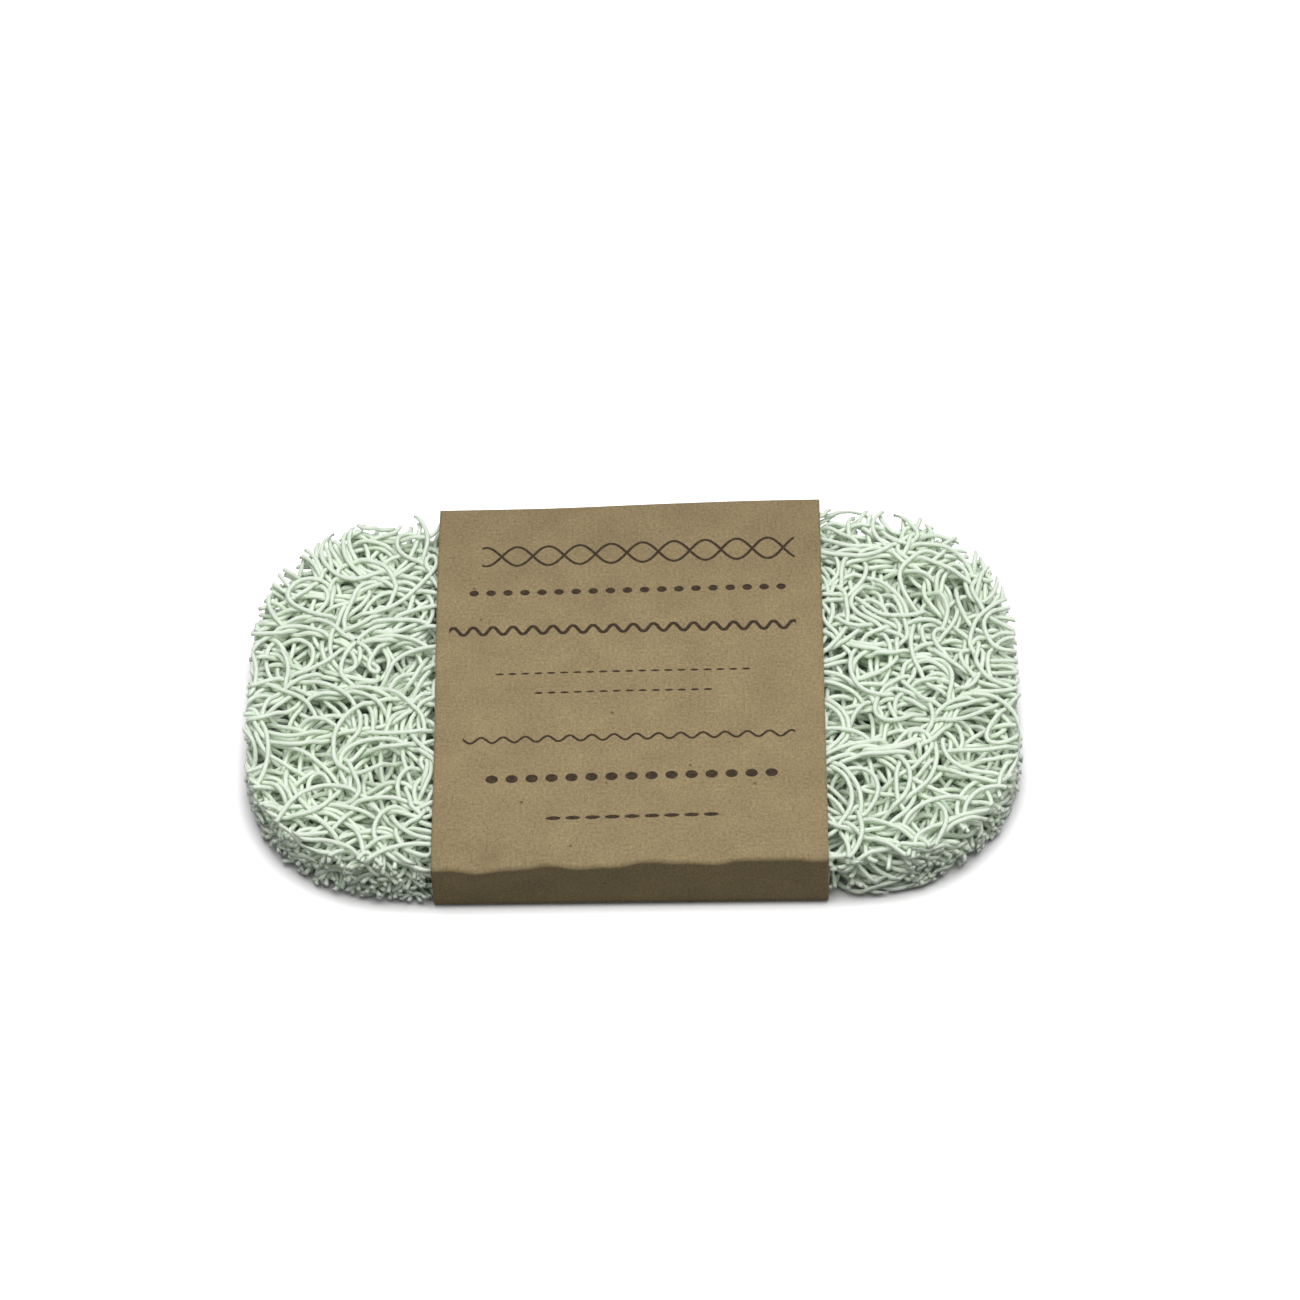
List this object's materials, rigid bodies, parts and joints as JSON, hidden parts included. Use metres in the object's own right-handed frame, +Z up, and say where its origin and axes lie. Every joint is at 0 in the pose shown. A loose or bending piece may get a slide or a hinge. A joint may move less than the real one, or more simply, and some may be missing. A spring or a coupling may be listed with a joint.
{
  "type": "soap saver",
  "caption": "Flat pad of looped extruded filaments that drains a bar of soap, in a slide-off kraft paper band.",
  "frame": {"origin": "centre of the footprint, on the surface that the band's underside rests on", "axes": "+X along the pad's length, +Y across it, +Z up through its thickness"},
  "size_m": [0.12, 0.074, 0.011],
  "materials": {
    "filament": "satin",
    "kraft_paper": "uncoated",
    "glue": "satin"
  },
  "bodies": {
    "pad": {"lower_filament_01": "filament", "lower_filament_02": "filament", "lower_filament_03": "filament", "lower_filament_04": "filament", "lower_filament_05": "filament", "lower_filament_06": "filament", "lower_filament_07": "filament", "lower_filament_08": "filament", "lower_filament_09": "filament", "lower_filament_10": "filament", "lower_filament_11": "filament", "lower_filament_12": "filament", "lower_filament_13": "filament", "lower_filament_14": "filament", "lower_filament_15": "filament", "lower_filament_16": "filament", "lower_filament_17": "filament", "upper_filament_01": "filament", "upper_filament_02": "filament", "upper_filament_03": "filament", "upper_filament_04": "filament", "upper_filament_05": "filament", "upper_filament_06": "filament", "upper_filament_07": "filament", "upper_filament_08": "filament", "upper_filament_09": "filament", "upper_filament_10": "filament", "upper_filament_11": "filament", "upper_filament_12": "filament", "upper_filament_13": "filament", "upper_filament_14": "filament", "upper_filament_15": "filament", "upper_filament_16": "filament"},
    "band": {"paper_band": "kraft_paper", "lap_glue": "glue"}
  },
  "joints": [
    {"name": "band_slide", "type": "slide", "parent": "pad", "child": "band", "axis": [1, 0, 0], "range_m": [-0.095, 0.095]}
  ]
}
